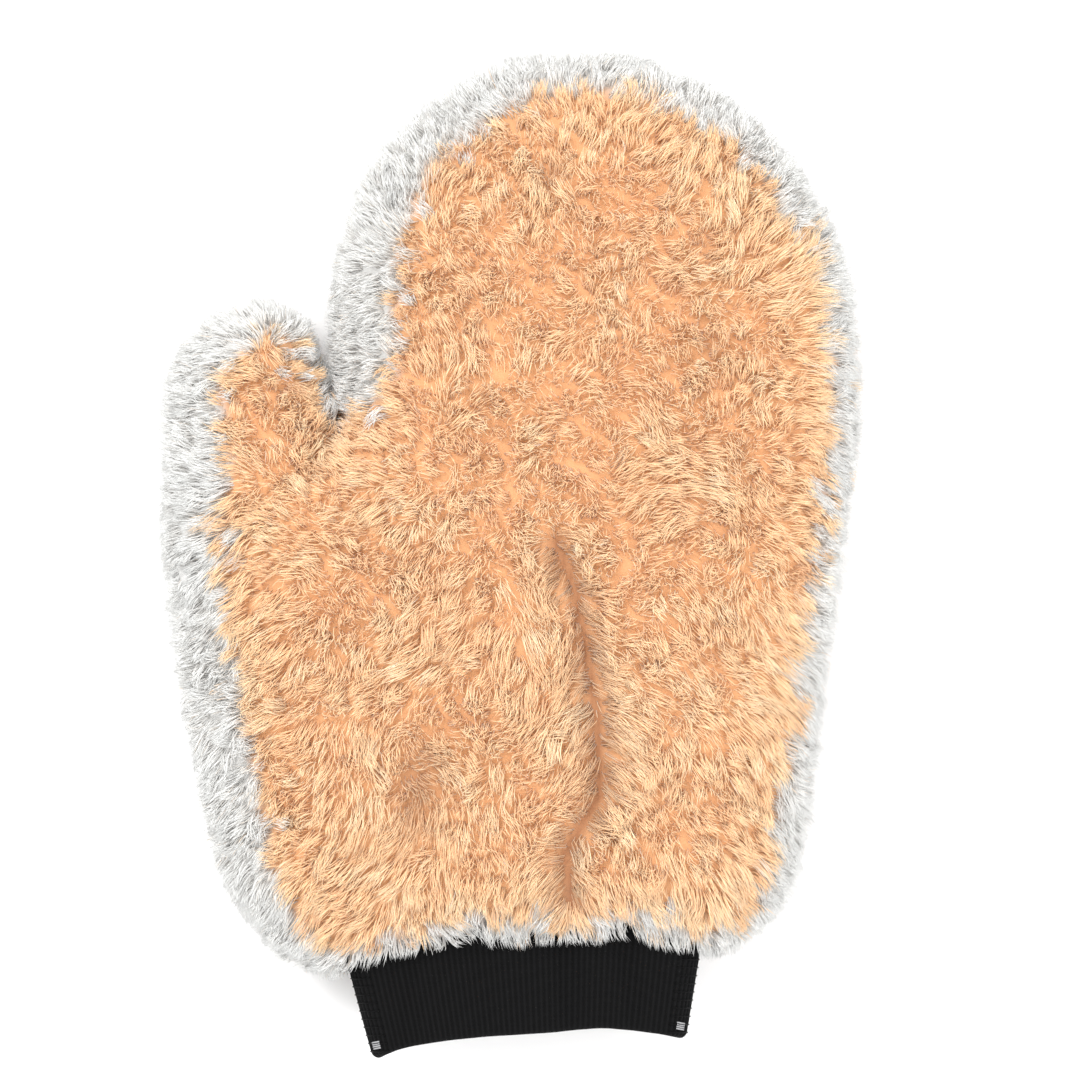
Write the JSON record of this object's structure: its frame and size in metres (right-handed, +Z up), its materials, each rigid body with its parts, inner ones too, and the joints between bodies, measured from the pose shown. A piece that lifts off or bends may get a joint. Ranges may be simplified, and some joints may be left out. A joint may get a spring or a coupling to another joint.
{
  "type": "wash mitt",
  "caption": "Hand-shaped wash mitt with a separate thumb: long plush pile on both faces over a knitted ground, a thin lining bag and a folded rib-knit wrist cuff.",
  "frame": {"origin": "middle of the footprint, on the surface that the mitt lies on", "axes": "+Y from the cuff to the fingertips, +X from the thumb side to the other side, +Z up through the thickness with the palm face on top"},
  "size_m": [0.1908, 0.2749, 0.056],
  "materials": {
    "pile": "long, soft, slightly clumped plush pile, peach in the middle and paler to off-white at the rim",
    "ground": "plain knitted ground that holds the pile",
    "lining": "smooth thin knitted lining",
    "seam_thread": "spun sewing thread",
    "cuff_thread": "grey sewing thread",
    "rib_knit": "matt black rib knit",
    "elastic": "flat woven elastic"
  },
  "bodies": {
    "palm": {"palm_front_pile": "pile", "palm_back_pile": "pile", "palm_front_ground": "ground", "palm_back_ground": "ground", "palm_front_lining": "lining", "palm_back_lining": "lining", "palm_seam_thread": "seam_thread", "palm_lining_thread": "seam_thread", "cuff_front": "rib_knit", "cuff_back": "rib_knit", "cuff_elastic": "elastic", "cuff_left_thread": "cuff_thread", "cuff_right_thread": "cuff_thread", "wrist_thread": "seam_thread"},
    "fingers": {"finger_front_pile": "pile", "finger_back_pile": "pile", "finger_front_ground": "ground", "finger_back_ground": "ground", "finger_front_lining": "lining", "finger_back_lining": "lining", "finger_seam_thread": "seam_thread", "finger_lining_thread": "seam_thread"},
    "thumb": {"thumb_front_pile": "pile", "thumb_back_pile": "pile", "thumb_front_ground": "ground", "thumb_back_ground": "ground", "thumb_front_lining": "lining", "thumb_back_lining": "lining", "thumb_seam_thread": "seam_thread", "thumb_lining_thread": "seam_thread"}
  },
  "joints": [
    {"name": "finger_fold", "type": "hinge", "parent": "palm", "child": "fingers", "pos_m": [0.02, 0.036, 0.041], "axis": [1, 0, 0], "range_deg": [0, 50]},
    {"name": "thumb_fold", "type": "hinge", "parent": "palm", "child": "thumb", "pos_m": [-0.05035, 0.028, 0.041], "axis": [0.7812, 0.6243, 0], "range_deg": [0, 50]}
  ]
}
